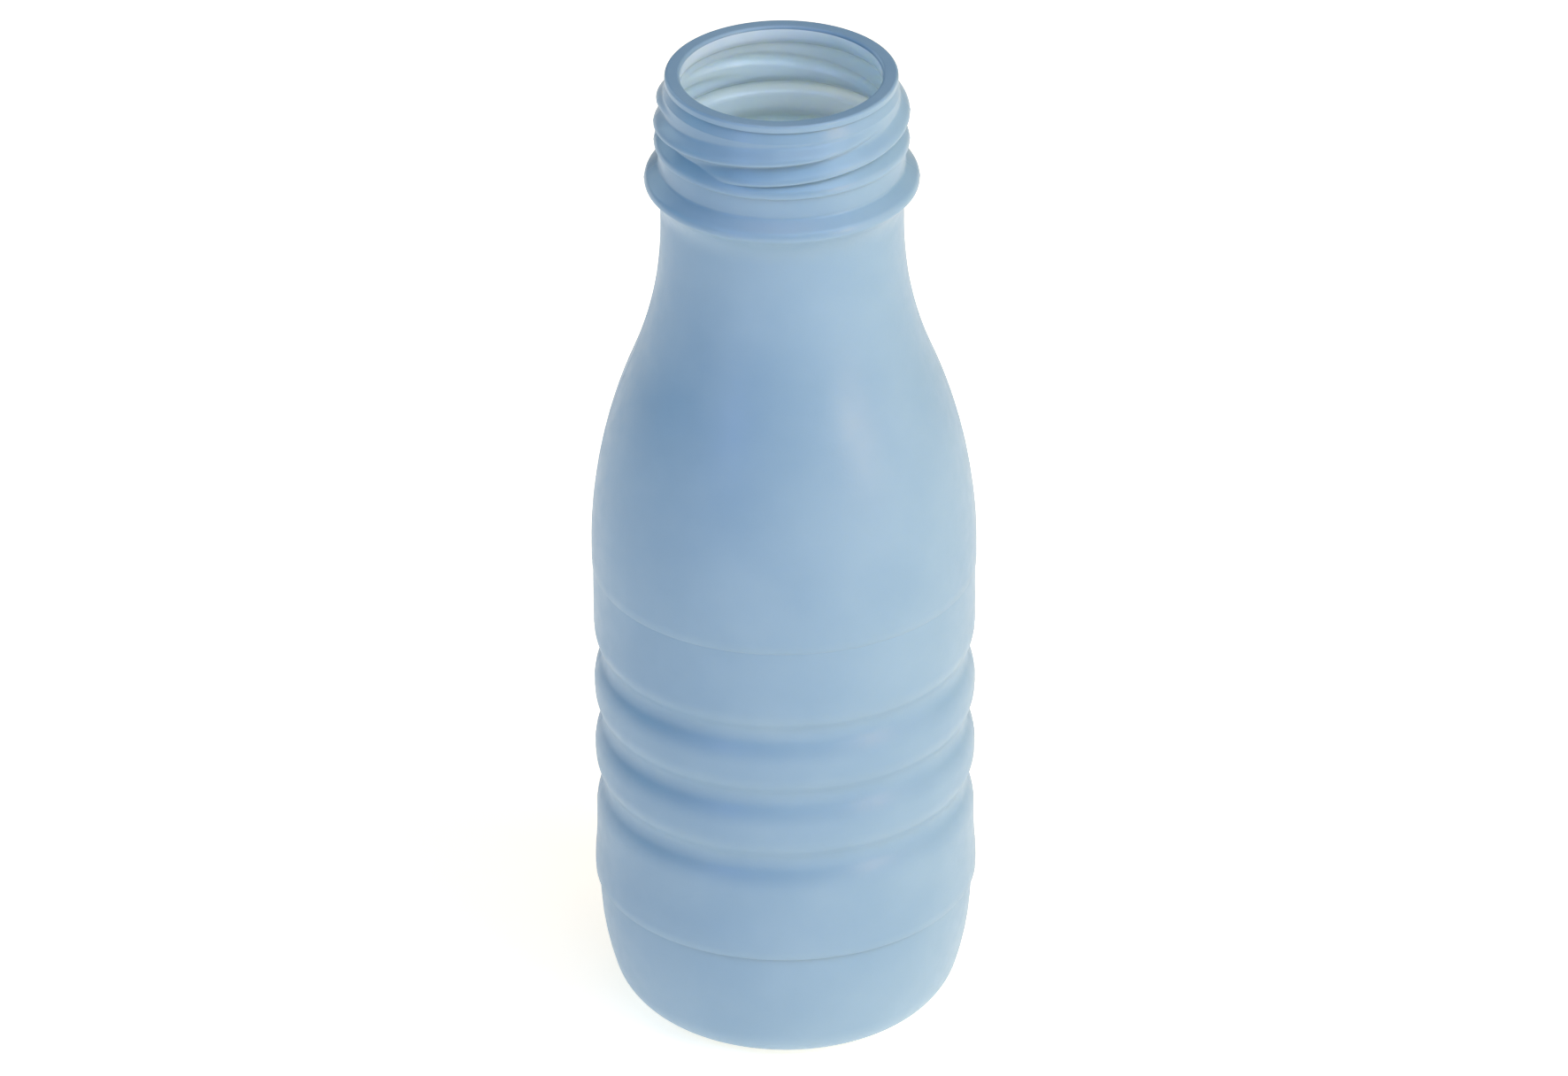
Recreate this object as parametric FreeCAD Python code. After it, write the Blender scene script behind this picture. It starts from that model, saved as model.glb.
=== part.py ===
import FreeCAD, Part
import math
import os

# Milk bottle, extrusion blow-moulded in high-density polyethylene, with a 38 mm three-start screw neck.
# Millimetres. The origin is the centre of the foot, on the surface it stands on, and +Z is up.
# The front is towards -Y. Every height is above the foot, and every radius is from the bottle's axis.

os.makedirs("parts", exist_ok=True)

# ---- driving dimensions -------------------------------------------------------------------------

TOTAL_HEIGHT = 157.0

# base and heel
PUSH_UP = 2.6               # how far the middle of the base stands above the foot
BASE_GAUGE = 1.2            # wall at the middle of the base
FOOT_INNER = 16.4           # the foot is a flat ring between these two radii
FOOT_OUTER = 18.0
HEEL_BEND = 8.7             # radius of the bend from the foot into the heel wall
HEEL_TURN = 73.0            # degrees that the bend turns through
HEEL_WALL = 46.1            # radius of the long curve of the heel wall
PINCH_LENGTH = 26.0         # scar where the mould pinched the parison shut
PINCH_WIDTH = 0.9
PINCH_PROUD = 0.3

# body
BUMPER = 29.0               # widest radius, on the lower bumper
BUMPER_LOW = 21.3           # the bumper's lower edge, a small ledge
BUMPER_HIGH = 22.6
LEDGE_RISE = 0.35
LOWER_PANEL = 28.68
LOWER_PANEL_FOOT = 29.4
RIB = 28.8                  # radius of the upper panel and of the ridges between the grooves
GROOVE_FLOOR = 27.5
GROOVE_HALF = 4.75          # half the width of a groove
GROOVE_FIRST = 37.4         # height of the lowest groove's floor
GROOVE_PITCH = 11.05
GROOVE_COUNT = 3
GROOVE_FLOOR_SHARE = 0.36   # share of a groove's two bends that belongs to its floor
SHOULDER = 28.97
SHOULDER_LOW = 74.6         # edge of the shoulder bumper, a finer ledge
SHOULDER_LEDGE = 0.15
SHOULDER_HIGH = 77.7
SHOULDER_SHARE = 0.568      # share of the shoulder's two curves that belongs to the outward bulge
WALL = 0.75

# neck below the thread
NECK = 18.05
NECK_LOW = 132.5
NECK_HIGH = 134.0
NECK_WALL = 1.05
BEAD = 20.45                # the flange that a closing machine holds the bottle by
BEAD_HEIGHT = 139.7
BEAD_ROUND = 1.5
BEAD_SLOPE = 50.0           # degrees that the bead's upper face leans in from upright
FLARE_SHARE = 0.91          # share of the two bends under the bead that belongs to the flare
COLLAR = 18.3               # plain neck between the bead and the ring
RING = 18.95
RING_HEIGHT = 146.0
RING_EDGE = 0.35            # radius of its lower edge
RING_ROUND = 1.6            # and of its upper edge
RING_UNDERCUT = 80.0        # degrees that the ring's lower face leans in from upright
RING_SLOPE = 40.0           # and its upper face

# 38 mm neck finish
ROOT = 17.5
ROOT_HIGH = 154.1           # no ridge of the thread reaches above this
CREST = 19.0
CREASE = 16.8               # crease below the lip
CREASE_HEIGHT = 155.72
LIP = 17.3
LIP_LOW = 155.92
LIP_ROUND = 0.45
MOUTH = 15.0
MOUTH_LAND = 1.8            # depth of the straight land and the rounded edge above it
MOUTH_EDGE = 0.5
FINISH_WALL = 1.35

# inside of the finish: shallow hollows that the blown neck keeps behind its bead and its ring
INNER_BEAD_DEPTH = 1.0
INNER_BEAD_FADE = 3.2       # height over which the hollow behind the bead closes again
INNER_RING_DEPTH = 0.6
INNER_RING_RISE = 1.6       # height over which the hollow behind the ring opens
INNER_RING_FADE = 2.4       # and closes
INNER_FLARE_SHARE = 0.7     # share of the two bends up to the hollow that belongs to the flare
INNER_HOLLOW_SHARE = 0.4    # share of the other pairs of bends that belongs to the lower one
INNER_TAPER = 1.2           # how far below ROOT_HIGH the inside starts to close in to the mouth
INNER_TAPER_SHARE = 0.5
BASE_SHARE = 0.86           # share of the base's two bends that belongs to its pushed-up middle

# thread: equal ridges, right-handed
STARTS = 3
LEAD = 9.8
RIDGE_SPAN = 242.0          # degrees that one ridge runs through, with both its ends
RUN_IN = 56.0               # degrees over which its lower end rises out of the neck
RUN_OUT = 54.0              # degrees over which its upper end sinks back into the neck
RIDGE_WIDTH = 3.15
CREST_AT = 0.16             # where the crest lies, as a share of the width from the lower edge
RIDGE_LOW = 146.1           # height of a ridge's lower edge where the ridge begins
FIRST_START = -60.0         # degrees from the front, towards +X, where the first ridge begins
SECTIONS = 40
BURIED = 0.35               # how far a ridge's foot reaches into the wall
RIDGE_SET = 0.1             # how far a ridge's own root lies below the neck's surface
INNER_CREST = 16.7          # the same turns, softer and shorter, on the inside of the blown neck
INNER_SPAN = 195.0
FLANK_STEPS = 3             # points that draw a ridge's steep lower flank
SLOPE_STEPS = 5             # and its gentle upper one
SWELL_STEPS = 8             # and the whole of an inner ridge


# ---- outlines: edges in the XZ plane, drawn from the foot upwards -------------------------------

def at(radius, height):
    return FreeCAD.Vector(radius, 0, height)


def straight(start, end):
    return Part.LineSegment(start, end).toShape()


def bend(centre, radius, first, last):
    """An arc about centre, between two angles in degrees measured from +X towards +Z."""
    points = []
    for angle in (first, (first + last) / 2, last):
        turn = math.radians(angle)
        points.append(centre + at(radius * math.cos(turn), radius * math.sin(turn)))
    return Part.Arc(*points).toShape()


def ogee(start, end, share, level=False):
    """Two arcs that join start and end in an S and meet each other without a corner.

    The S leaves and arrives upright, or level if level is true. share is the part of the two
    radii's sum that belongs to the arc at start.
    """
    across = end.x - start.x
    along = end.z - start.z
    if level:
        across, along = along, across
    turn = 2 * math.atan(abs(across) / abs(along))
    both = abs(along) / math.sin(turn)

    def on_arc(corner, radius, angle, way):
        aside = way * math.copysign(radius * (1 - math.cos(angle)), across)
        ahead = way * math.copysign(radius * math.sin(angle), along)
        return corner + (at(ahead, aside) if level else at(aside, ahead))

    first = both * share
    second = both - first
    knee = on_arc(start, first, turn, 1)
    near = Part.Arc(start, on_arc(start, first, turn / 2, 1), knee)
    far = Part.Arc(knee, on_arc(end, second, turn / 2, -1), end)
    return [near.toShape(), far.toShape()]


def revolve(edges):
    """The solid that the outline sweeps round the axis, closed along the axis."""
    start = edges[0].firstVertex().Point
    end = edges[-1].lastVertex().Point
    top = at(0, end.z)
    closing = [straight(top, start)]
    if end.x > 0:
        closing.insert(0, straight(end, top))
    face = Part.Face(Part.Wire(edges + closing))
    return face.revolve(at(0, 0), FreeCAD.Vector(0, 0, 1), 360)


def body_outline(gauge, neck_gauge):
    """The side of the body, from above the heel ledge up to the plain neck, moved in by gauge."""
    edges = []
    bumper = BUMPER - gauge
    panel = LOWER_PANEL - gauge
    rib = RIB - gauge
    floor = GROOVE_FLOOR - gauge
    shoulder = SHOULDER - gauge
    neck = NECK - neck_gauge
    edges.append(straight(at(bumper, BUMPER_LOW), at(bumper, BUMPER_HIGH)))
    edges += ogee(at(bumper, BUMPER_HIGH), at(panel, LOWER_PANEL_FOOT), 0.5)
    reached = at(panel, LOWER_PANEL_FOOT)
    for count in range(GROOVE_COUNT):
        middle = GROOVE_FIRST + count * GROOVE_PITCH
        mouth_low = at(reached.x, middle - GROOVE_HALF)
        deepest = at(floor, middle)
        mouth_high = at(rib, middle + GROOVE_HALF)
        edges.append(straight(reached, mouth_low))
        edges += ogee(mouth_low, deepest, 1 - GROOVE_FLOOR_SHARE)
        edges += ogee(deepest, mouth_high, GROOVE_FLOOR_SHARE)
        reached = mouth_high
    ledge = at(rib, SHOULDER_LOW - SHOULDER_LEDGE)
    edges.append(straight(reached, ledge))
    edges.append(straight(ledge, at(shoulder, SHOULDER_LOW)))
    edges.append(straight(at(shoulder, SHOULDER_LOW), at(shoulder, SHOULDER_HIGH)))
    edges += ogee(at(shoulder, SHOULDER_HIGH), at(neck, NECK_LOW), SHOULDER_SHARE)
    edges.append(straight(at(neck, NECK_LOW), at(neck, NECK_HIGH)))
    return edges


def heel_outline(gauge):
    """The base and heel, from the axis out to the ledge under the bumper, moved in by gauge."""
    middle = at(0, PUSH_UP + (BASE_GAUGE if gauge else 0))
    foot = at(FOOT_INNER, gauge)
    edges = ogee(middle, foot, BASE_SHARE, level=True)
    edges.append(straight(foot, at(FOOT_OUTER, gauge)))
    steep = HEEL_TURN - 90
    bend_centre = at(FOOT_OUTER, HEEL_BEND)
    edges.append(bend(bend_centre, HEEL_BEND - gauge, -90, steep))
    reach = HEEL_WALL - HEEL_BEND
    turn = math.radians(steep)
    wall_centre = bend_centre - at(reach * math.cos(turn), reach * math.sin(turn))
    edges.append(bend(wall_centre, HEEL_WALL - gauge, steep, 0))
    top = edges[-1].lastVertex().Point
    ledge = at(top.x, BUMPER_LOW - LEDGE_RISE)
    edges.append(straight(top, ledge))
    edges.append(straight(ledge, at(BUMPER - gauge, BUMPER_LOW)))
    return edges


def leaning(point, angle, radius):
    """Where a line through point that leans in by angle degrees, upwards or downwards, meets radius."""
    return at(radius, point.z + (point.x - radius) / math.tan(math.radians(angle)))


def neck_outline():
    """The outside of the neck and finish without its thread, from the plain neck to the lip's top."""
    edges = ogee(at(NECK, NECK_HIGH), at(BEAD, BEAD_HEIGHT), FLARE_SHARE)
    edges.append(bend(at(BEAD - BEAD_ROUND, BEAD_HEIGHT), BEAD_ROUND, 0, BEAD_SLOPE))
    bead_round_end = edges[-1].lastVertex().Point
    collar_low = leaning(bead_round_end, BEAD_SLOPE, COLLAR)
    edges.append(straight(bead_round_end, collar_low))

    ring_edge = bend(at(RING - RING_EDGE, RING_HEIGHT), RING_EDGE, -RING_UNDERCUT, 0)
    ring = bend(at(RING - RING_ROUND, RING_HEIGHT), RING_ROUND, 0, RING_SLOPE)
    ring_round_start = ring_edge.firstVertex().Point
    ring_round_end = ring.lastVertex().Point
    collar_high = leaning(ring_round_start, -RING_UNDERCUT, COLLAR)
    root_low = leaning(ring_round_end, RING_SLOPE, ROOT)
    edges.append(straight(collar_low, collar_high))
    edges.append(straight(collar_high, ring_round_start))
    edges.append(ring_edge)
    edges.append(ring)
    edges.append(straight(ring_round_end, root_low))

    lip_corner = at(LIP - LIP_ROUND, TOTAL_HEIGHT - LIP_ROUND)
    edges.append(straight(root_low, at(ROOT, ROOT_HIGH)))
    edges.append(straight(at(ROOT, ROOT_HIGH), at(CREASE, CREASE_HEIGHT)))
    edges.append(straight(at(CREASE, CREASE_HEIGHT), at(LIP, LIP_LOW)))
    edges.append(straight(at(LIP, LIP_LOW), at(LIP, lip_corner.z)))
    edges.append(bend(lip_corner, LIP_ROUND, 0, 90))
    return edges


def inner_neck_outline():
    """The inside of the neck without its thread, from the plain neck to beyond the mouth."""
    neck = NECK - NECK_WALL
    collar = COLLAR - FINISH_WALL
    root = ROOT - FINISH_WALL
    behind_bead = at(collar + INNER_BEAD_DEPTH, BEAD_HEIGHT)
    collar_low = at(collar, BEAD_HEIGHT + INNER_BEAD_FADE)
    collar_high = at(collar, RING_HEIGHT - INNER_RING_RISE)
    behind_ring = at(collar + INNER_RING_DEPTH, RING_HEIGHT)
    root_low = at(root, RING_HEIGHT + INNER_RING_FADE)
    root_high = at(root, ROOT_HIGH - INNER_TAPER)
    land_low = at(MOUTH, TOTAL_HEIGHT - MOUTH_LAND)
    land_high = at(MOUTH, TOTAL_HEIGHT - MOUTH_EDGE)
    edges = ogee(at(neck, NECK_HIGH), behind_bead, INNER_FLARE_SHARE)
    edges += ogee(behind_bead, collar_low, INNER_HOLLOW_SHARE)
    edges.append(straight(collar_low, collar_high))
    edges += ogee(collar_high, behind_ring, INNER_HOLLOW_SHARE)
    edges += ogee(behind_ring, root_low, INNER_HOLLOW_SHARE)
    edges.append(straight(root_low, root_high))
    edges += ogee(root_high, land_low, INNER_TAPER_SHARE)
    edges.append(straight(land_low, land_high))
    edges.append(bend(at(MOUTH + MOUTH_EDGE, TOTAL_HEIGHT - MOUTH_EDGE), MOUTH_EDGE, 180, 90))
    rim = at(MOUTH + MOUTH_EDGE, TOTAL_HEIGHT)
    edges.append(straight(rim, at(rim.x, TOTAL_HEIGHT + 1)))
    return edges


# ---- thread ------------------------------------------------------------------------------------

def emerged(angle, span):
    """How far a ridge stands out of the neck at this angle of its run, from 0 to 1."""
    part = min(1.0, angle / RUN_IN, (span - angle) / RUN_OUT)
    return part * part * (3 - 2 * part)


def buttress():
    """A ridge's outline as (up, out), both from 0 to 1: a round steep flank, then a gentle one."""
    points = []
    for step in range(FLANK_STEPS):
        turn = math.pi / 2 * step / FLANK_STEPS
        points.append((CREST_AT * (1 - math.cos(turn)), math.sin(turn)))
    for step in range(SLOPE_STEPS + 1):
        share = step / SLOPE_STEPS
        points.append((CREST_AT + (1 - CREST_AT) * share, 0.5 + 0.5 * math.cos(math.pi * share)))
    return points


def swell():
    """A soft ridge, as it shows inside, where the plastic only followed the mould loosely."""
    shares = [step / SWELL_STEPS for step in range(SWELL_STEPS + 1)]
    return [(share, 0.5 - 0.5 * math.cos(2 * math.pi * share)) for share in shares]


def distances(outline):
    """How far along a ridge's full-height outline each of its points lies, in millimetres."""
    reached = [0.0]
    for (up, out), (next_up, next_out) in zip(outline, outline[1:]):
        step = math.hypot((next_up - up) * RIDGE_WIDTH, (next_out - out) * (CREST - ROOT))
        reached.append(reached[-1] + step)
    return reached


def ridge_section(angle, span, root, crest, highest, outline):
    """One ridge's closed cross-section, before it is turned to its own place round the neck."""
    low = RIDGE_LOW + LEAD * angle / 360
    width = min(RIDGE_WIDTH, highest - low)
    foot = root - RIDGE_SET
    tall = (crest - foot) * emerged(angle, span)
    points = [at(foot + tall * out, low + width * up) for up, out in outline]
    hump = Part.BSplineCurve()
    hump.interpolate(Points=points, Parameters=distances(outline))
    low_inside = at(foot - BURIED, low)
    high_inside = at(foot - BURIED, low + width)
    edges = [
        hump.toShape(),
        straight(points[-1], high_inside),
        straight(high_inside, low_inside),
        straight(low_inside, points[0]),
    ]
    return Part.Wire(edges)


def ridge(first_angle, span, root, crest, highest, outline):
    """One start of the thread."""
    wires = []
    for count in range(SECTIONS):
        angle = span * count / (SECTIONS - 1)
        wire = ridge_section(angle, span, root, crest, highest, outline)
        wire.rotate(at(0, 0), FreeCAD.Vector(0, 0, 1), first_angle + angle - 90)
        wires.append(wire)
    return Part.makeLoft(wires, True, False)


def thread(span, root, crest, highest, outline):
    places = [FIRST_START + 360 / STARTS * count for count in range(STARTS)]
    return [ridge(place, span, root, crest, highest, outline) for place in places]


# ---- the bottle ----------------------------------------------------------------------------------

def pinch_scar():
    """The low straight scar across the middle of the pushed-up base, along X."""
    lowered = revolve(heel_outline(0))
    lowered.translate(at(0, -PINCH_PROUD))
    corner = FreeCAD.Vector(-PINCH_LENGTH / 2, -PINCH_WIDTH / 2, 0)
    strip = Part.makeBox(PINCH_LENGTH, PINCH_WIDTH, PUSH_UP + BASE_GAUGE / 2, corner)
    return lowered.common(strip)


def bottle():
    outside = revolve(heel_outline(0) + body_outline(0, 0) + neck_outline())
    inside = revolve(heel_outline(WALL) + body_outline(WALL, NECK_WALL) + inner_neck_outline())
    outer_thread = thread(RIDGE_SPAN, ROOT, CREST, ROOT_HIGH, buttress())
    inner_high = ROOT_HIGH - INNER_TAPER
    inner_thread = thread(INNER_SPAN, ROOT - FINISH_WALL, INNER_CREST, inner_high, swell())
    solid = outside.fuse(outer_thread + [pinch_scar()]).cut(inside.fuse(inner_thread))
    return solid.removeSplitter()


shape = bottle()
shape.exportStep("parts/bottle.step")
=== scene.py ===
import bpy
import math
import numpy as np
from mathutils import Matrix, Vector


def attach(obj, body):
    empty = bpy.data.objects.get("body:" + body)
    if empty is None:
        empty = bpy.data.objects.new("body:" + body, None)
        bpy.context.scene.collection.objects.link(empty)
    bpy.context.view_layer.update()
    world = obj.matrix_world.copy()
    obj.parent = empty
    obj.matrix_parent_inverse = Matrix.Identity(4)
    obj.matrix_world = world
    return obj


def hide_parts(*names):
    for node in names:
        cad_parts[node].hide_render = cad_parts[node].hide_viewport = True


# A blow-moulded milk bottle, seen from above the front. Its surface is swept round the axis from two
# outlines, with the thread added to the rows of points that it crosses. The bottle's lengths are in
# millimetres, as in the CAD model, until MM turns them into metres. The camera and the lights are
# placed in metres. The front is towards -Y.

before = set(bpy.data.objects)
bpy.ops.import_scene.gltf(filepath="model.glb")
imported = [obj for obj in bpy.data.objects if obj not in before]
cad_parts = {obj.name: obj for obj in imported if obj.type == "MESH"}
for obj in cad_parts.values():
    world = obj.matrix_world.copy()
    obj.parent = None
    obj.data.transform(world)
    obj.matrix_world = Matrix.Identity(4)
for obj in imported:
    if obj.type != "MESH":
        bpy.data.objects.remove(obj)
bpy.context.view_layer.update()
MM = 0.001                  # one millimetre, in metres

# ---- dimensions of the bottle, the same as the CAD model's ---------------------------------------

TOTAL_HEIGHT = 157.0
PUSH_UP, BASE_GAUGE = 2.6, 1.2
FOOT_INNER, FOOT_OUTER = 16.4, 18.0
HEEL_BEND, HEEL_TURN, HEEL_WALL = 8.7, 73.0, 46.1
PINCH_LENGTH, PINCH_WIDTH, PINCH_PROUD = 26.0, 0.9, 0.3

BUMPER, BUMPER_LOW, BUMPER_HIGH, LEDGE_RISE = 29.0, 21.3, 22.6, 0.35
LOWER_PANEL, LOWER_PANEL_FOOT = 28.68, 29.4
RIB, GROOVE_FLOOR, GROOVE_HALF = 28.8, 27.5, 4.75
GROOVE_FIRST, GROOVE_PITCH, GROOVE_COUNT, GROOVE_FLOOR_SHARE = 37.4, 11.05, 3, 0.36
SHOULDER, SHOULDER_LOW, SHOULDER_LEDGE = 28.97, 74.6, 0.15
SHOULDER_HIGH, SHOULDER_SHARE = 77.7, 0.568
WALL, NECK_WALL, FINISH_WALL = 0.75, 1.05, 1.35

NECK, NECK_LOW, NECK_HIGH = 18.05, 132.5, 134.0
BEAD, BEAD_HEIGHT, BEAD_ROUND, BEAD_SLOPE, FLARE_SHARE = 20.45, 139.7, 1.5, 50.0, 0.91
COLLAR = 18.3
RING, RING_HEIGHT, RING_EDGE, RING_UNDERCUT = 18.95, 146.0, 0.35, 80.0
RING_ROUND, RING_SLOPE = 1.6, 40.0

ROOT, ROOT_HIGH, CREST = 17.5, 154.1, 19.0     # no ridge of the thread reaches above ROOT_HIGH
CREASE, CREASE_HEIGHT = 16.8, 155.72
LIP, LIP_LOW, LIP_ROUND = 17.3, 155.92, 0.45
MOUTH, MOUTH_LAND, MOUTH_EDGE = 15.0, 1.8, 0.5
INNER_BEAD_DEPTH, INNER_BEAD_FADE = 1.0, 3.2    # hollows behind the bead and the ring
INNER_RING_DEPTH, INNER_RING_RISE, INNER_RING_FADE = 0.6, 1.6, 2.4
INNER_FLARE_SHARE, INNER_HOLLOW_SHARE, INNER_TAPER_SHARE, BASE_SHARE = 0.7, 0.4, 0.5, 0.86
INNER_TAPER = 1.2           # how far below ROOT_HIGH the inside starts to close in to the mouth

STARTS, LEAD, RIDGE_SPAN = 3, 9.8, 242.0
RUN_IN, RUN_OUT = 56.0, 54.0
RIDGE_WIDTH, RIDGE_LOW, RIDGE_SET, FIRST_START = 3.15, 146.1, 0.1, -60.0
CREST_AT = 0.16             # where a ridge's crest lies, as a share of its width from its lower edge
INNER_CREST, INNER_SPAN = 16.7, 195.0   # the same turns, softer and shorter, on the inside

# details that only the visible model has: a fine line where the mould's halves met, at +X and -X,
# and edges that are rounder than the CAD model's
SEAM_PROUD, SEAM_WIDTH, SEAM_LOW = 0.05, 0.22, 1.8
SEAM_SIDES = (-90.0, 90.0)
THREAD_BLEND = 0.08         # how softly a ridge meets the neck
LEDGE_EDGE = 0.09           # height over which a ledge's edge is rounded
PINCH_FADE, PINCH_EDGE = 1.0, 0.3       # lengths over which the scar's ends and its sides run out

# spacing of the mesh's rows and columns
COLUMNS = 300               # evenly spaced columns round the bottle
SEAM_COLUMNS = (-0.7, -0.4, -0.2, 0.0, 0.2, 0.4, 0.7)   # and the ones along a seam, in degrees from it
SEAM_CLEAR = 0.9            # degrees to each side of a seam without evenly spaced ones
ARC_STEP = 4.0              # degrees from one row to the next on a curve
ROW_STEP = 1.6              # the longest step between rows on a straight stretch
FOOT_STEP, NECK_STEP = 0.5, 0.3         # on the foot's ring, and on the collar and the mouth
BEAD_STEP = 0.4
LEDGE_STEP, EDGE_STEP = 0.12, 0.05      # up a ledge, and round its edge
FINE_STEP = 0.08            # where the thread is

# colours of the plastic, from its deeper patches to its paler ones
BLUE_DEEP, BLUE_PALE = (0.252, 0.390, 0.500, 1), (0.280, 0.418, 0.520, 1)
# the inside's pair: the same plastic painted paler, a painted glow for light coming through the thin
# wall
PAINTED_GLOW_DEEP, PAINTED_GLOW_PALE = (0.68, 0.80, 0.86, 1), (0.72, 0.83, 0.88, 1)


# ---- outlines: arrays of (radius, height), drawn from the foot upwards ---------------------------

def straight(start, end, step=ROW_STEP):
    start, end = np.array(start, float), np.array(end, float)
    count = max(1, math.ceil(np.linalg.norm(end - start) / step))
    return [start + (end - start) * i / count for i in range(1, count + 1)]


def bend(centre, radius, first, last):
    """Points along an arc, between two angles in degrees measured from outwards towards up."""
    count = max(2, math.ceil(abs(last - first) / ARC_STEP))
    turns = np.radians(np.linspace(first, last, count + 1)[1:])
    return [np.array(centre) + radius * np.array((math.cos(t), math.sin(t))) for t in turns]


def ogee(start, end, share, level=False):
    """Two arcs that join start and end in an S, upright at both ends, or level if level is true."""
    start, end = np.array(start, float), np.array(end, float)
    across, along = end - start
    if level:
        across, along = along, across
    turn = 2 * math.atan(abs(across) / abs(along))
    both = abs(along) / math.sin(turn)
    count = max(3, math.ceil(math.degrees(turn) / ARC_STEP), math.ceil(abs(along) * share / ROW_STEP))

    def on_arc(corner, radius, angle, way):
        aside = way * math.copysign(radius * (1 - math.cos(angle)), across)
        ahead = way * math.copysign(radius * math.sin(angle), along)
        return corner + np.array((ahead, aside) if level else (aside, ahead))

    first, second = both * share, both * (1 - share)
    points = [on_arc(start, first, turn * i / count, 1) for i in range(1, count + 1)]
    points += [on_arc(end, second, turn * i / count, -1) for i in range(count - 1, 0, -1)]
    return points + [end]


def heel_outline(gauge):
    """From the axis, across the base, round the heel and up to the ledge under the bumper."""
    foot = (FOOT_INNER, gauge)
    points = [np.array((0.0, PUSH_UP + (BASE_GAUGE if gauge else 0)))]
    points += ogee(points[0], foot, BASE_SHARE, level=True)
    points += straight(foot, (FOOT_OUTER, gauge), FOOT_STEP)
    steep = HEEL_TURN - 90
    bend_centre = np.array((FOOT_OUTER, HEEL_BEND))
    points += bend(bend_centre, HEEL_BEND - gauge, -90, steep)
    turn = math.radians(steep)
    reach = HEEL_WALL - HEEL_BEND
    wall_centre = bend_centre - reach * np.array((math.cos(turn), math.sin(turn)))
    points += bend(wall_centre, HEEL_WALL - gauge, steep, 0)
    top = points[-1]
    return points + rounded_step(top[0], BUMPER - gauge, top[1], BUMPER_LOW - LEDGE_RISE, BUMPER_LOW)


def rounded_step(inner, outer, start, low, high):
    """A small ledge: up a wall at inner, out to outer, with close rows that keep its edges crisp."""
    below = (inner, low - LEDGE_EDGE)
    brink = (outer - LEDGE_EDGE, high - LEDGE_EDGE)
    points = straight((inner, start), below)
    points += straight(below, (inner, low), LEDGE_EDGE / 2)
    points += straight((inner, low), brink, LEDGE_STEP)
    points += straight(brink, (outer, high + LEDGE_EDGE / 2), EDGE_STEP)
    return points


def body_outline(gauge, neck_gauge):
    """The side of the body, from above the heel ledge up to the plain neck, moved in by gauge."""
    bumper, panel, rib = BUMPER - gauge, LOWER_PANEL - gauge, RIB - gauge
    floor, shoulder, neck = GROOVE_FLOOR - gauge, SHOULDER - gauge, NECK - neck_gauge
    points = straight((bumper, BUMPER_LOW + EDGE_STEP), (bumper, BUMPER_HIGH))
    points += ogee((bumper, BUMPER_HIGH), (panel, LOWER_PANEL_FOOT), 0.5)
    for count in range(GROOVE_COUNT):
        middle = GROOVE_FIRST + count * GROOVE_PITCH
        reached = points[-1]
        mouth_low = (reached[0], middle - GROOVE_HALF)
        mouth_high = (rib, middle + GROOVE_HALF)
        points += straight(reached, mouth_low)
        points += ogee(mouth_low, (floor, middle), 1 - GROOVE_FLOOR_SHARE)
        points += ogee((floor, middle), mouth_high, GROOVE_FLOOR_SHARE)
    points += rounded_step(rib, shoulder, points[-1][1], SHOULDER_LOW - SHOULDER_LEDGE, SHOULDER_LOW)
    points += straight(points[-1], (shoulder, SHOULDER_HIGH))
    points += ogee((shoulder, SHOULDER_HIGH), (neck, NECK_LOW), SHOULDER_SHARE)
    points += straight((neck, NECK_LOW), (neck, NECK_HIGH))
    return points


def leaning(point, angle, radius):
    """Where a line through point that leans in by angle degrees meets radius."""
    return np.array((radius, point[1] + (point[0] - radius) / math.tan(math.radians(angle))))


def neck_outline():
    """The outside of the neck and finish without its thread, up to the top of the lip."""
    points = ogee((NECK, NECK_HIGH), (BEAD, BEAD_HEIGHT), FLARE_SHARE)
    points += bend((BEAD - BEAD_ROUND, BEAD_HEIGHT), BEAD_ROUND, 0, BEAD_SLOPE)
    collar_low = leaning(points[-1], BEAD_SLOPE, COLLAR)
    points += straight(points[-1], collar_low, BEAD_STEP)
    turn = math.radians(RING_UNDERCUT)
    ring_start = np.array((RING - RING_EDGE + RING_EDGE * math.cos(turn),
                           RING_HEIGHT - RING_EDGE * math.sin(turn)))
    ring = bend((RING - RING_EDGE, RING_HEIGHT), RING_EDGE, -RING_UNDERCUT, 0)
    ring += bend((RING - RING_ROUND, RING_HEIGHT), RING_ROUND, 0, RING_SLOPE)
    collar_high = leaning(ring_start, -RING_UNDERCUT, COLLAR)
    root_low = leaning(ring[-1], RING_SLOPE, ROOT)
    points += straight(collar_low, collar_high, NECK_STEP)
    points += straight(collar_high, ring_start, FINE_STEP)
    points += ring
    points += straight(ring[-1], root_low, FINE_STEP)
    points += straight(root_low, (ROOT, ROOT_HIGH), FINE_STEP)
    points += straight((ROOT, ROOT_HIGH), (CREASE, CREASE_HEIGHT), FINE_STEP)
    points += straight((CREASE, CREASE_HEIGHT), (LIP, LIP_LOW), FINE_STEP)
    lip_corner = (LIP - LIP_ROUND, TOTAL_HEIGHT - LIP_ROUND)
    points += straight((LIP, LIP_LOW), (LIP, lip_corner[1]), FINE_STEP)
    points += bend(lip_corner, LIP_ROUND, 0, 90)
    points += straight(points[-1], (MOUTH + MOUTH_EDGE, TOTAL_HEIGHT), NECK_STEP)
    return points


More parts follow.
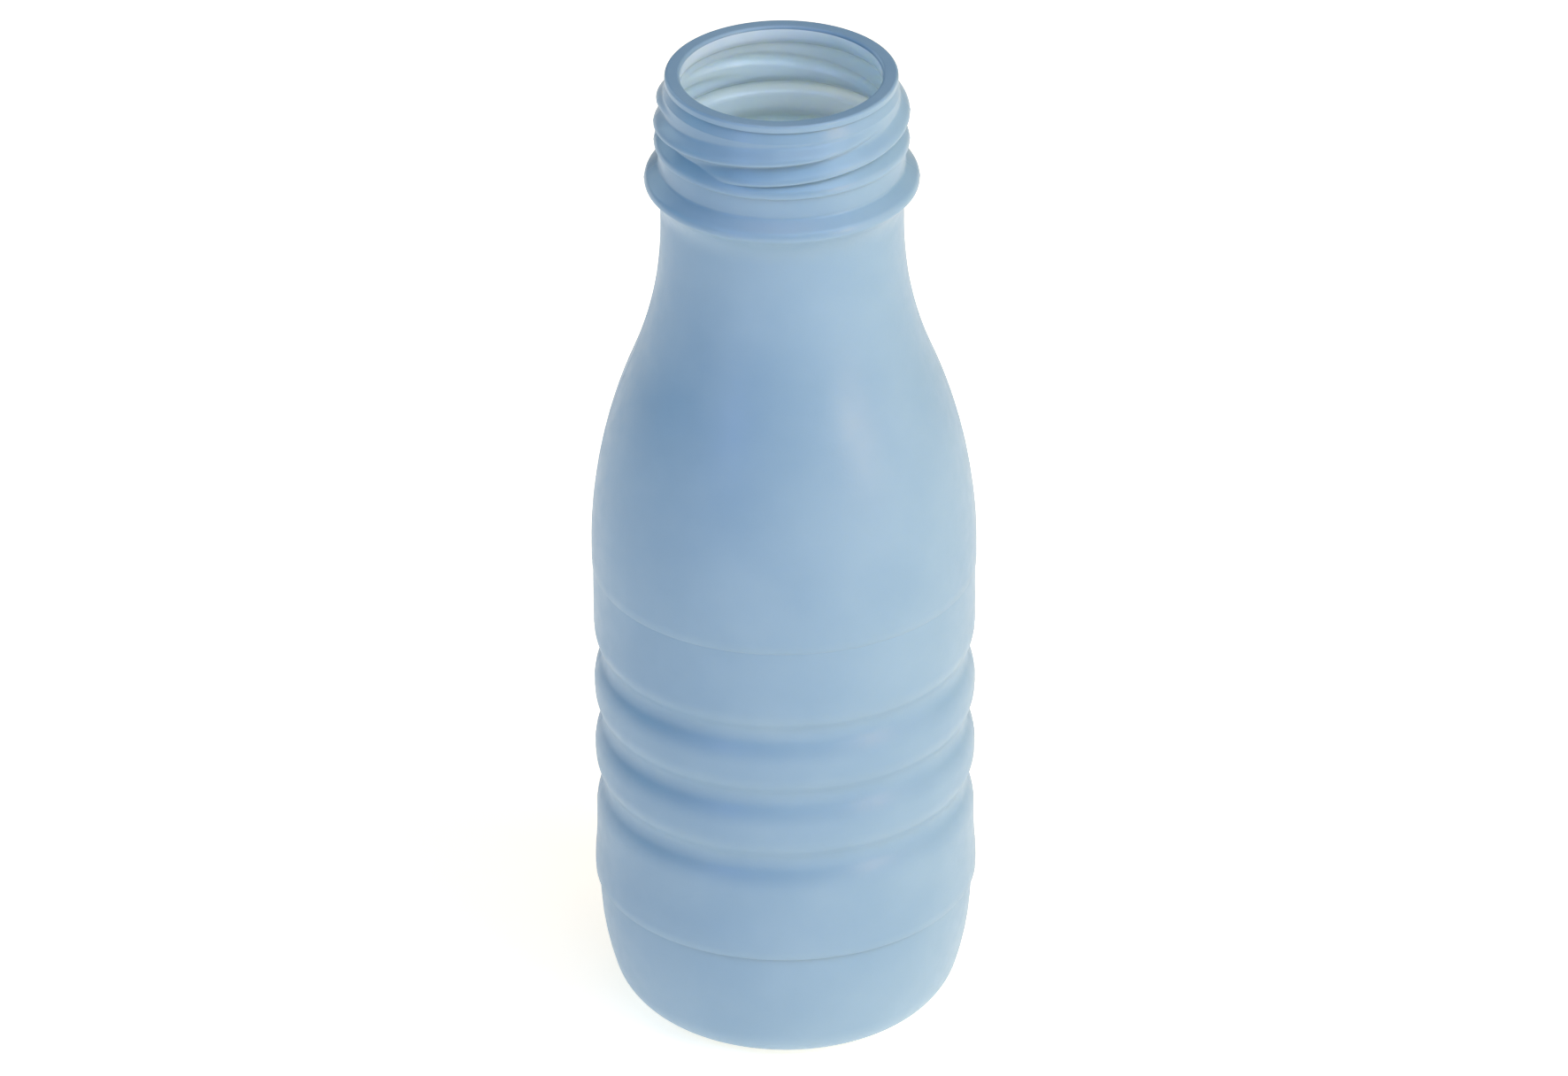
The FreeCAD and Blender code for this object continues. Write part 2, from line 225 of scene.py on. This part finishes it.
def inner_neck_outline():
    """The inside of the neck without its thread, from the plain neck up to the lip's inner edge."""
    neck, collar, root = NECK - NECK_WALL, COLLAR - FINISH_WALL, ROOT - FINISH_WALL
    behind_bead = (collar + INNER_BEAD_DEPTH, BEAD_HEIGHT)
    collar_low = (collar, BEAD_HEIGHT + INNER_BEAD_FADE)
    collar_high = (collar, RING_HEIGHT - INNER_RING_RISE)
    behind_ring = (collar + INNER_RING_DEPTH, RING_HEIGHT)
    root_low, root_high = (root, RING_HEIGHT + INNER_RING_FADE), (root, ROOT_HIGH - INNER_TAPER)
    land_low = (MOUTH, TOTAL_HEIGHT - MOUTH_LAND)
    points = ogee((neck, NECK_HIGH), behind_bead, INNER_FLARE_SHARE)
    points += ogee(behind_bead, collar_low, INNER_HOLLOW_SHARE)
    points += straight(collar_low, collar_high, NECK_STEP)
    points += ogee(collar_high, behind_ring, INNER_HOLLOW_SHARE)
    points += ogee(behind_ring, root_low, INNER_HOLLOW_SHARE)
    points += straight(root_low, root_high, FINE_STEP)
    points += ogee(root_high, land_low, INNER_TAPER_SHARE)
    points += straight(land_low, (MOUTH, TOTAL_HEIGHT - MOUTH_EDGE), NECK_STEP)
    edge = bend((MOUTH + MOUTH_EDGE, TOTAL_HEIGHT - MOUTH_EDGE), MOUTH_EDGE, 180, 90)
    return points + edge[:-1]


# ---- thread --------------------------------------------------------------------------------------

def hump(up):
    """A ridge's outline: steep below its crest, gentle above. up runs from 0 to 1 across it."""
    below = np.clip((CREST_AT - up) / CREST_AT, 0, 1)
    above = np.clip((up - CREST_AT) / (1 - CREST_AT), 0, 1)
    steep = np.sqrt(1 - below ** 2)
    gentle = 0.5 + 0.5 * np.cos(math.pi * above)
    return np.where(up < CREST_AT, steep, gentle)


def emerged(angle, span):
    """How far a ridge stands out of the neck at each angle of its run, from 0 to 1."""
    part = np.clip(np.minimum(angle / RUN_IN, (span - angle) / RUN_OUT), 0, 1)
    return part * part * (3 - 2 * part)


def softly_larger(a, b, soft):
    """The larger of a and b, with the corner between them rounded."""
    near = np.clip(0.5 + 0.5 * (a - b) / soft, 0, 1)
    return b + (a - b) * near + soft * near * (1 - near)


def swell(up):
    """A soft ridge, as it shows inside, where the plastic only followed the mould loosely."""
    return 0.5 - 0.5 * np.cos(2 * math.pi * np.clip(up, 0, 1))


def with_thread(radii, heights, turns, root, crest, highest, span, shape):
    """Radii of a threaded neck: rows by columns, from each row's plain radius and height."""
    grid = np.repeat(radii[:, None], len(turns), axis=1)
    degrees = np.degrees(turns)
    foot = root - RIDGE_SET
    for count in range(STARTS):
        run = (degrees - FIRST_START - 360 / STARTS * count) % 360
        low = RIDGE_LOW + LEAD * run / 360
        width = np.minimum(RIDGE_WIDTH, np.maximum(highest - low, 0.1))
        up = (heights[:, None] - low[None, :]) / width[None, :]
        inside = (up > 0) & (up < 1) & (run < span)[None, :]
        ridge = foot + (crest - foot) * (shape(up) * emerged(run, span)[None, :])
        grid = np.where(inside, softly_larger(ridge, grid, THREAD_BLEND), grid)
    return grid


# ---- the bottle's mesh ---------------------------------------------------------------------------

def column_turns():
    """Angles of the mesh's columns, from the front towards +X, with close ones along the mould seam."""
    turns = [360.0 * i / COLUMNS - 180 for i in range(COLUMNS)]
    for seam in SEAM_SIDES:
        turns = [t for t in turns if abs(t - seam) > SEAM_CLEAR]
        turns += [seam + step for step in SEAM_COLUMNS]
    return np.radians(np.array(sorted(turns)))


def seam_height(radii, turns):
    """How far the seam stands out at each point: a fine raised line on both sides."""
    aside = np.minimum(np.abs(turns - math.pi / 2), np.abs(turns + math.pi / 2))
    across = radii * aside[None, :]
    return SEAM_PROUD * np.exp(-(across / (SEAM_WIDTH / 2)) ** 2)


def pinch_drop(x, y):
    """How far the scar stands below the pushed-up base."""
    along = np.clip((PINCH_LENGTH / 2 - np.abs(x)) / PINCH_FADE, 0, 1)
    aside = np.clip((PINCH_WIDTH / 2 + PINCH_EDGE / 2 - np.abs(y)) / PINCH_EDGE, 0, 1)
    return PINCH_PROUD * along * aside


def swept(points, root, crest, highest, span, shape):
    """Radii, heights and turns, rows by columns, of an outline swept round the axis with its thread."""
    turns = column_turns()
    radii = np.array([p[0] for p in points])
    heights = np.array([p[1] for p in points])
    grid = np.repeat(radii[:, None], len(turns), axis=1)
    threaded = (heights > RIDGE_LOW) & (heights < highest)
    plain = radii[threaded], heights[threaded]
    grid[threaded] = with_thread(*plain, turns, root, crest, highest, span, shape)
    return grid, np.repeat(heights[:, None], len(turns), axis=1), turns


def outer_rows(outline):
    """x, y and z of the outside, with its seam and the scar across its base."""
    radii, heights, turns = swept(outline, ROOT, CREST, ROOT_HIGH, RIDGE_SPAN, hump)
    seamed = (heights > SEAM_LOW) & (heights < LIP_LOW)
    radii = radii + np.where(seamed, seam_height(radii, turns), 0)
    x, y = radii * np.sin(turns), -radii * np.cos(turns)
    return x, y, np.where(radii < FOOT_INNER, heights - pinch_drop(x, y), heights)


def inner_rows(outline):
    """x, y and z of the inside, in the same order as the outside's: from the base up."""
    root, highest = ROOT - FINISH_WALL, ROOT_HIGH - INNER_TAPER
    radii, heights, turns = swept(outline, root, INNER_CREST, highest, INNER_SPAN, swell)
    return radii * np.sin(turns), -radii * np.cos(turns), heights


def shell_faces(rows, columns):
    """Quads between the rows, then triangles that close the base, outside and inside in turn."""
    faces = []
    for row in range(rows - 1):
        here, above = row * columns, (row + 1) * columns
        for column in range(columns):
            after = (column + 1) % columns
            faces.append((here + column, here + after, above + after, above + column))
    last = (rows - 1) * columns
    outer_pole, inner_pole = rows * columns, rows * columns + 1
    for column in range(columns):
        after = (column + 1) % columns
        faces.append((column, outer_pole, after))
        faces.append((last + column, last + after, inner_pole))
    return faces


def face_materials(row_heights, outer_count, columns):
    """Each face's material: 0 on the body, 1 on the neck above its bead, 2 inside, painted paler as a
    painted glow.
    """
    middles = (row_heights[:-1] + row_heights[1:]) / 2
    within = (np.arange(len(middles)) >= outer_count) & (middles < TOTAL_HEIGHT - MOUTH_EDGE)
    by_row = np.where(within, 2, np.where(middles > BEAD_HEIGHT, 1, 0))
    closing = np.tile((0, 2), columns)
    return np.concatenate([np.repeat(by_row, columns), closing]).astype(np.int32)


def bottle_mesh():
    """One closed mesh: up the outside from the base's middle, over the lip and down the inside."""
    outer = heel_outline(0) + body_outline(0, 0) + neck_outline()
    inner = heel_outline(WALL) + body_outline(WALL, NECK_WALL) + inner_neck_outline()
    outside = outer_rows(outer[1:])
    inside = inner_rows(inner[1:])
    x, y, z = (np.vstack([up, down[::-1]]) for up, down in zip(outside, inside))
    poles = [(0, 0, outer[0][1] - PINCH_PROUD), (0, 0, inner[0][1])]
    points = np.vstack([np.stack([x.ravel(), y.ravel(), z.ravel()], axis=1), poles]) * MM
    faces = shell_faces(*x.shape)
    mesh = bpy.data.meshes.new("bottle_shell")
    mesh.from_pydata(points.tolist(), [], faces)
    mesh.polygons.foreach_set("use_smooth", np.ones(len(faces), bool))
    mesh.polygons.foreach_set("material_index", face_materials(z[:, 0], len(outer) - 1, x.shape[1]))
    mesh.update()
    return mesh


# ---- materials -----------------------------------------------------------------------------------

def new_material(name):
    material = bpy.data.materials.new(name)
    material.use_nodes = True
    nodes = material.node_tree.nodes
    shader = nodes["Principled BSDF"]
    return material, nodes, material.node_tree.links, shader


def noise_in_object(nodes, links, size, detail):
    """A noise texture fixed to the object, in patches of about this size."""
    place = nodes.new("ShaderNodeTexCoord")
    noise = nodes.new("ShaderNodeTexNoise")
    noise.inputs["Scale"].default_value = 1 / (size * MM)
    noise.inputs["Detail"].default_value = detail
    links.new(place.outputs["Object"], noise.inputs["Vector"])
    return noise


def grey(value):
    return value, value, value, 1


def mottled(nodes, links, socket, first, second, size):
    """Drive a colour or number socket softly between two values, in patches of about this size."""
    noise = noise_in_object(nodes, links, size, 3.0)
    ramp = nodes.new("ShaderNodeValToRGB")
    low, high = ramp.color_ramp.elements
    low.position, high.position = 0.35, 0.65
    low.color, high.color = first, second
    links.new(noise.outputs["Fac"], ramp.inputs[0])
    links.new(ramp.outputs[0], socket)


def grain(nodes, links, shader, size, depth, strength):
    """The fine pitted texture that the blasted mould leaves, as a bump."""
    noise = noise_in_object(nodes, links, size, 2.0)
    noise.inputs["Roughness"].default_value = 0.6
    bump = nodes.new("ShaderNodeBump")
    bump.inputs["Strength"].default_value = strength
    bump.inputs["Distance"].default_value = depth * MM
    links.new(noise.outputs["Fac"], bump.inputs["Height"])
    links.new(bump.outputs[0], shader.inputs["Normal"])


def hdpe_body():
    """Satin blue-grey polyethylene with the fine grain of the mould."""
    material, nodes, links, shader = new_material("hdpe_satin")
    mottled(nodes, links, shader.inputs["Base Color"], BLUE_DEEP, BLUE_PALE, 14)
    mottled(nodes, links, shader.inputs["Roughness"], grey(0.33), grey(0.41), 2.2)
    grain(nodes, links, shader, size=0.45, depth=0.05, strength=0.35)
    return material


def hdpe_finish():
    """The same plastic where polished mould inserts form the neck: smoother and glossier."""
    material, nodes, links, shader = new_material("hdpe_finish")
    mottled(nodes, links, shader.inputs["Base Color"], BLUE_DEEP, BLUE_PALE, 9)
    mottled(nodes, links, shader.inputs["Roughness"], grey(0.28), grey(0.35), 1.5)
    return material


def hdpe_inside_painted_glow():
    """The wall's inner side: smooth because it blew free, and lit through the thin wall too. Its colour
    is also painted paler than the outside's, a painted glow for that light.
    """
    material, nodes, links, shader = new_material("hdpe_inside_painted_glow")
    # painted glow: a paler copy of the plastic's colour, standing in for light through the wall
    mottled(nodes, links, shader.inputs["Base Color"], PAINTED_GLOW_DEEP, PAINTED_GLOW_PALE, 12)
    mottled(nodes, links, shader.inputs["Roughness"], grey(0.16), grey(0.24), 3)
    shader.inputs["Subsurface Weight"].default_value = 1.0
    shader.inputs["Subsurface Radius"].default_value = (1.0, 1.0, 0.8)
    shader.inputs["Subsurface Scale"].default_value = 4 * MM
    return material


def floor_material():
    """A white floor that glows a little, warmly, as a lit table does."""
    material, _, _, shader = new_material("pale_floor")
    shader.inputs["Base Color"].default_value = grey(0.9)
    shader.inputs["Roughness"].default_value = 0.9
    shader.inputs["Emission Color"].default_value = (1.0, 0.90, 0.72, 1)
    shader.inputs["Emission Strength"].default_value = 0.68
    return material


# ---- pieces --------------------------------------------------------------------------------------

def make_bottle():
    mesh = bottle_mesh()
    piece = bpy.data.objects.new("bottle_shell", mesh)
    bpy.context.scene.collection.objects.link(piece)
    for material in (hdpe_body(), hdpe_finish(), hdpe_inside_painted_glow()):
        mesh.materials.append(material)
    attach(piece, "root")
    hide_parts("bottle")
    return piece


def make_floor():
    """A plain square, a hair below the foot so that the two faces don't coincide."""
    mesh = bpy.data.meshes.new("floor")
    half = 3.0
    low = -0.05 * MM
    corners = [(-half, -half, low), (half, -half, low), (half, half, low), (-half, half, low)]
    mesh.from_pydata(corners, [], [(0, 1, 2, 3)])
    mesh.materials.append(floor_material())
    floor = bpy.data.objects.new("floor", mesh)
    bpy.context.scene.collection.objects.link(floor)


def make_camera():
    """A long lens, well above the bottle and in front of it."""
    elevation, distance = math.radians(29.61), 1.7952
    aim = Vector((0, 0, 78.1 * MM))
    data = bpy.data.cameras.new("camera")
    data.sensor_width = 36.0
    data.lens = 273.5
    data.clip_end = 20.0
    camera = bpy.data.objects.new("camera", data)
    bpy.context.scene.collection.objects.link(camera)
    away = Vector((0, -math.cos(elevation), math.sin(elevation)))
    camera.location = aim + away * distance
    roll = Matrix.Rotation(math.radians(-0.32), 4, "Z")
    camera.rotation_euler = ((-away).to_track_quat("-Z", "Y").to_matrix().to_4x4() @ roll).to_euler()
    bpy.context.scene.camera = camera


def soft_light(name, azimuth, elevation, distance, size, watts, colour):
    """A round soft box that faces the bottle, azimuth being measured from the front towards +X."""
    data = bpy.data.lights.new(name, "AREA")
    data.shape = "DISK"
    data.size = size
    data.energy = watts
    data.color = colour
    light = bpy.data.objects.new(name, data)
    bpy.context.scene.collection.objects.link(light)
    across, up = math.radians(azimuth), math.radians(elevation)
    away = Vector((math.sin(across) * math.cos(up), -math.cos(across) * math.cos(up), math.sin(up)))
    bottle_middle = Vector((0, 0, 0.07))
    light.location = bottle_middle + away * distance
    light.rotation_euler = (-away).to_track_quat("-Z", "Y").to_euler()


def make_room():
    """A dim room that is palest on the right, towards +X, and dark on the left."""
    world = bpy.data.worlds.new("studio")
    bpy.context.scene.world = world
    world.use_nodes = True
    nodes, links = world.node_tree.nodes, world.node_tree.links
    place = nodes.new("ShaderNodeTexCoord")
    facing = nodes.new("ShaderNodeVectorMath")
    facing.operation = "DOT_PRODUCT"
    facing.inputs[1].default_value = (0.71, 0.0, 0.0)
    links.new(place.outputs["Generated"], facing.inputs[0])
    lit = nodes.new("ShaderNodeMath")
    lit.operation = "MAXIMUM"
    lit.inputs[1].default_value = 0.0
    links.new(facing.outputs["Value"], lit.inputs[0])
    links.new(lit.outputs[0], nodes["Background"].inputs["Strength"])
    nodes["Background"].inputs["Color"].default_value = (0.93, 1.0, 0.86, 1)


def make_light():
    """Broad soft boxes round and above the bottle, and two small bluish ones for its highlights."""
    make_room()
    soft_light("key_light", 52, 45, 1.3, 0.8, 6.4, (0.64, 0.78, 1.0))
    soft_light("front_light", 5, 50, 1.4, 0.7, 3.4, (0.54, 0.76, 1.0))
    soft_light("front_left_light", -45, 40, 1.3, 0.6, 2.4, (0.33, 0.54, 1.0))
    soft_light("low_key_light", 53, 14, 1.2, 0.4, 2.4, (1.0, 0.6, 0.05))
    soft_light("right_light", 90, 15, 1.0, 0.6, 1.0, (1.0, 0.8, 0.7))
    soft_light("left_light", -90, 20, 1.0, 0.6, 0.8, (0.02, 0.56, 1.0))
    soft_light("back_light", -135, 25, 1.1, 0.7, 2.1, (0.81, 1.0, 1.0))
    soft_light("top_light", 0, 85, 1.2, 0.9, 2.9, (1.0, 0.66, 0.55))
    soft_light("right_glint", 53, 14, 1.2, 0.16, 1.6, (0.32, 0.38, 1.0))
    soft_light("left_glint", -36, 14, 1.2, 0.16, 0.9, (0.32, 0.38, 1.0))


make_camera()
make_light()
make_floor()
make_bottle()
bpy.context.scene.view_settings.view_transform = "Standard"
